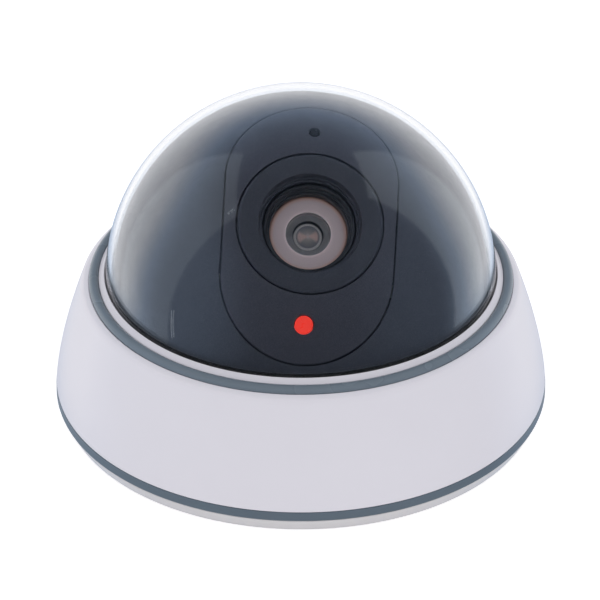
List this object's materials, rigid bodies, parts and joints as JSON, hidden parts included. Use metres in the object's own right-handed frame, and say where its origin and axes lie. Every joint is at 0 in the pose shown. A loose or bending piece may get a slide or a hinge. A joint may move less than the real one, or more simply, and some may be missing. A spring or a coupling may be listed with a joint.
{
  "type": "dome cctv camera",
  "caption": "Dome surveillance camera: round base, lift-off white cover with a clear dome, and a black eyeball under it that pans, tilts, turns level and focuses.",
  "frame": {"origin": "centre of the base's flat underside", "axes": "+Z away from the mounting surface through the top of the dome; -Y is the way the camera faces at rest; +X to the right seen from in front"},
  "size_m": [0.13, 0.13, 0.0895],
  "materials": {
    "housing_white": "glossy moulded plastic, cool white",
    "base_white": "satin moulded plastic, white",
    "upper_band_grey": "semi-gloss grey trim",
    "lower_band_grey": "semi-gloss grey trim",
    "dome_clear": "clear polycarbonate, polished",
    "ball_black": "fine spark texture, black",
    "face_black": "fine spark texture, black",
    "bezel_black": "satin black",
    "barrel_black": "matt black",
    "inner_black": "matt black",
    "lens_pink": "tinted, polished",
    "lens_glass": "coated optical glass",
    "filter_glass": "coated filter glass",
    "led_red": "diffused red resin",
    "sensor_dark": "dark resin",
    "circuit_board": "solder mask over copper",
    "chip_black": "moulded resin",
    "can_aluminium": "drawn can",
    "ferrite": "pressed ferrite",
    "connector_ivory": "moulded nylon",
    "acetal_white": "moulded acetal",
    "black_rubber": "moulded rubber",
    "steel": "zinc plated",
    "black_steel": "blackened steel",
    "yoke_metal": "folded sheet"
  },
  "bodies": {
    "base": {"base_plate": "base_white", "lower_band": "lower_band_grey", "cable_grommet": "black_rubber", "pan_hub": "acetal_white", "hub_screws": "steel", "main_board": "circuit_board", "board_screws": "steel", "processor_chip": "chip_black", "board_capacitors": "can_aluminium", "board_inductor": "ferrite", "cable_socket": "connector_ivory", "pan_washer": "steel", "pan_clip": "steel"},
    "cover": {"housing_shell": "housing_white", "upper_band": "upper_band_grey", "clear_dome": "dome_clear", "dome_seal": "black_rubber", "dome_retaining_ring": "inner_black", "dome_ring_screws": "steel", "cover_set_screws": "black_steel"},
    "pan": {"turntable": "inner_black", "yoke_arm_left": "yoke_metal", "yoke_arm_right": "yoke_metal", "yoke_screws": "steel", "tilt_washers": "acetal_white"},
    "tilt": {"ball_shell": "ball_black", "face_plate": "face_black", "face_screws": "steel", "tilt_pivot_pins": "steel", "status_led": "led_red", "light_sensor": "sensor_dark", "indicator_board": "circuit_board", "indicator_screws": "steel"},
    "turret": {"lens_bezel": "bezel_black", "lens_holder": "inner_black", "holder_washer": "steel", "sensor_board": "circuit_board", "image_sensor": "sensor_dark", "sensor_socket": "connector_ivory", "infrared_filter": "filter_glass", "sensor_board_screws": "steel"},
    "focus_ring": {"focus_ring": "inner_black"},
    "lens": {"lens_barrel": "barrel_black", "barrel_ring": "barrel_black", "lens_mask": "lens_pink", "front_glass": "lens_glass", "pupil_lens": "lens_glass", "aperture_stop": "barrel_black", "rear_lens": "lens_glass"}
  },
  "joints": [
    {"name": "cover_lift", "type": "slide", "parent": "base", "child": "cover", "axis": [0, 0, 1], "range_m": [0, 0.1]},
    {"name": "pan_turn", "type": "hinge", "parent": "base", "child": "pan", "pos_m": [0, 0, 0.0379], "axis": [0, 0, 1], "range_deg": [-170, 170]},
    {"name": "tilt_turn", "type": "hinge", "parent": "pan", "child": "tilt", "pos_m": [0, 0, 0.0379], "axis": [1, 0, 0], "range_deg": [-18, 18]},
    {"name": "turret_turn", "type": "hinge", "parent": "tilt", "child": "turret", "pos_m": [0, 0, 0.0379], "axis": [0, -0.6481, 0.7615], "range_deg": [-90, 90]},
    {"name": "lens_travel", "type": "slide", "parent": "turret", "child": "lens", "axis": [0, -0.6481, 0.7615], "range_m": [-0.0005, 0.0005]},
    {"name": "focus_turn", "type": "hinge", "parent": "turret", "child": "focus_ring", "pos_m": [0, 0, 0.0379], "axis": [0, -0.6481, 0.7615], "range_deg": [-62, 62]}
  ],
  "couplings": [
    {"joint": "focus_turn", "follows": "lens_travel", "rad_per_m": 2094.4}
  ]
}
